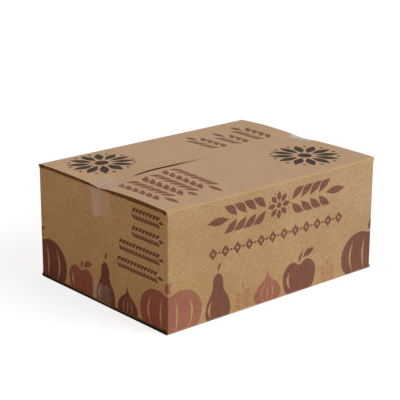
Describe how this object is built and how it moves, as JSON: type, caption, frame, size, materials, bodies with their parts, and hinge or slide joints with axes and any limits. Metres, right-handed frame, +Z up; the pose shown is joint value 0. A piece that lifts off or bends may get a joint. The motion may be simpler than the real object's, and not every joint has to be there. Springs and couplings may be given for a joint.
{
  "type": "shipping carton",
  "caption": "Closed corrugated kraft shipping carton, its slotted flaps folded in and held by clear packing tape at the seams, with plain printed ornament.",
  "frame": {"origin": "middle of the underside, on the surface that the carton stands on", "axes": "+X along the long walls, away from the end seen on the left of the picture; +Y away from the printed long wall; +Z up"},
  "size_m": [0.4302, 0.317, 0.1948],
  "materials": {
    "kraft_board": "uncoated brown kraft liner",
    "clear_tape": "clear glossy film"
  },
  "bodies": {
    "root": {"carton": "kraft_board", "top_tape_left": "clear_tape", "top_tape_right": "clear_tape", "bottom_tape": "clear_tape"}
  },
  "joints": []
}
